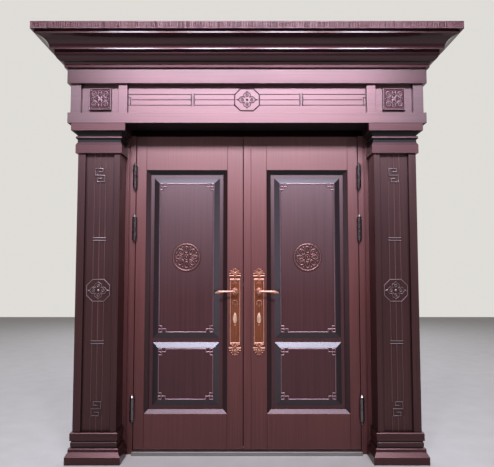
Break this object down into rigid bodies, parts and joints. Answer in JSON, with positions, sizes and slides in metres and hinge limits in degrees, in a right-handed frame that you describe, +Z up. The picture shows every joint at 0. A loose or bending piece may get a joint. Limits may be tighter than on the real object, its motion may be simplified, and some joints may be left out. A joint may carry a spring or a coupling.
{
  "type": "carved double entrance door with surround",
  "caption": "Closed pair of panelled entrance leaves in a carved surround with pilasters, a frieze and a stepped cornice; the leaves swing out and the levers work a latch and bolts.",
  "frame": {"origin": "on the floor under the middle of the threshold, in the plane of the leaves' front faces and the wall face", "axes": "+X to the right as seen from the approach side, +Y into the wall, +Z up"},
  "size_m": [2.688, 0.504, 2.748],
  "materials": {
    "rosewood_finish": "dark red-brown rosewood lacquer, satin gloss with fine upright grain",
    "carved_rosewood": "the same lacquer on carved boards, rubbed lighter on the raised edges",
    "medallion_copper": "dark copper, toned close to the leaf",
    "antique_copper": "antique rose copper, brushed plate with bright cast ornament",
    "hinge_bronze": "dark bronze barrel with polished ends",
    "sill_steel": "brushed sill",
    "seal_rubber": "black seal strip",
    "lock_steel": "plain steel lock parts"
  },
  "bodies": {
    "frame": {"corner_blocks": "carved_rosewood", "cornice_slab": "rosewood_finish", "crown_front": "rosewood_finish", "frame_gasket": "seal_rubber", "frame_head": "rosewood_finish", "frieze_panel": "carved_rosewood", "frieze_stiles": "rosewood_finish", "left_capital": "rosewood_finish", "left_crown_return": "rosewood_finish", "left_hinge_posts": "hinge_bronze", "left_jamb": "rosewood_finish", "left_pilaster_inner_board": "rosewood_finish", "left_pilaster_outer_board": "rosewood_finish", "left_pilaster_panel": "carved_rosewood", "left_plinth": "rosewood_finish", "lintel_bottom_board": "rosewood_finish", "lintel_top_board": "rosewood_finish", "right_capital": "rosewood_finish", "right_crown_return": "rosewood_finish", "right_hinge_posts": "hinge_bronze", "right_jamb": "rosewood_finish", "right_pilaster_inner_board": "rosewood_finish", "right_pilaster_outer_board": "rosewood_finish", "right_pilaster_panel": "carved_rosewood", "right_plinth": "rosewood_finish", "threshold": "sill_steel"},
    "left_leaf": {"left_hinge_stile": "rosewood_finish", "left_lock_stile": "rosewood_finish", "left_top_rail": "rosewood_finish", "left_bottom_rail": "rosewood_finish", "left_panel_moulding": "rosewood_finish", "left_carved_panel": "carved_rosewood", "left_medallion": "medallion_copper", "left_hinge_knuckles": "hinge_bronze", "left_outer_plate": "antique_copper", "left_inner_plate": "antique_copper", "left_lock_case": "lock_steel"},
    "right_leaf": {"right_hinge_stile": "rosewood_finish", "right_lock_stile": "rosewood_finish", "right_top_rail": "rosewood_finish", "right_bottom_rail": "rosewood_finish", "right_panel_moulding": "rosewood_finish", "right_carved_panel": "carved_rosewood", "right_medallion": "medallion_copper", "right_hinge_knuckles": "hinge_bronze", "right_outer_plate": "antique_copper", "right_inner_plate": "antique_copper", "right_lock_case": "lock_steel", "astragal": "rosewood_finish"},
    "left_handle": {"left_outer_lever": "antique_copper", "left_inner_lever": "antique_copper"},
    "right_handle": {"right_outer_lever": "antique_copper", "right_inner_lever": "antique_copper"},
    "left_latch": {"left_latch_bolt": "lock_steel"},
    "left_dead_bolt": {"left_deadbolt": "lock_steel"},
    "left_turn": {"left_thumbturn": "antique_copper"},
    "right_upper_bolt": {"right_top_bolt": "lock_steel"},
    "right_lower_bolt": {"right_bottom_bolt": "lock_steel"},
    "left_cover": {"left_keyhole_cover": "antique_copper"},
    "right_cover": {"right_keyhole_cover": "antique_copper"}
  },
  "joints": [
    {"name": "left_leaf_swing", "type": "hinge", "parent": "frame", "child": "left_leaf", "pos_m": [-0.756, -0.016, 0], "axis": [0, 0, -1], "range_deg": [0, 100]},
    {"name": "right_leaf_swing", "type": "hinge", "parent": "frame", "child": "right_leaf", "pos_m": [0.756, -0.016, 0], "axis": [0, 0, 1], "range_deg": [0, 100]},
    {"name": "left_lever_turn", "type": "hinge", "parent": "left_leaf", "child": "left_handle", "pos_m": [-0.08, 0, 1.066], "axis": [0, -1, 0], "range_deg": [0, 40], "stiffness_Nm_per_rad": 2, "springref_deg": -20.05},
    {"name": "right_lever_turn", "type": "hinge", "parent": "right_leaf", "child": "right_handle", "pos_m": [0.08, 0, 1.066], "axis": [0, 1, 0], "range_deg": [0, 40], "stiffness_Nm_per_rad": 2, "springref_deg": -20.05},
    {"name": "left_latch_slide", "type": "slide", "parent": "left_leaf", "child": "left_latch", "axis": [-1, 0, 0], "range_m": [0, 0.018]},
    {"name": "right_upper_bolt_slide", "type": "slide", "parent": "right_leaf", "child": "right_upper_bolt", "axis": [0, 0, -1], "range_m": [0, 0.015]},
    {"name": "right_lower_bolt_slide", "type": "slide", "parent": "right_leaf", "child": "right_lower_bolt", "axis": [0, 0, 1], "range_m": [0, 0.015]},
    {"name": "left_thumbturn_turn", "type": "hinge", "parent": "left_leaf", "child": "left_turn", "pos_m": [-0.08, 0.075, 0.889], "axis": [0, 1, 0], "range_deg": [0, 90]},
    {"name": "left_deadbolt_slide", "type": "slide", "parent": "left_leaf", "child": "left_dead_bolt", "axis": [1, 0, 0], "range_m": [0, 0.024]},
    {"name": "left_cover_swing", "type": "hinge", "parent": "left_leaf", "child": "left_cover", "pos_m": [-0.08, 0, 0.915], "axis": [0, -1, 0], "range_deg": [-80, 80]},
    {"name": "right_cover_swing", "type": "hinge", "parent": "right_leaf", "child": "right_cover", "pos_m": [0.08, 0, 0.915], "axis": [0, 1, 0], "range_deg": [-80, 80]}
  ],
  "couplings": [
    {"joint": "left_latch_slide", "follows": "left_lever_turn", "m_per_rad": 0.02578},
    {"joint": "right_upper_bolt_slide", "follows": "right_lever_turn", "m_per_rad": 0.02148},
    {"joint": "right_lower_bolt_slide", "follows": "right_lever_turn", "m_per_rad": 0.02148},
    {"joint": "left_deadbolt_slide", "follows": "left_thumbturn_turn", "m_per_rad": 0.01527}
  ]
}
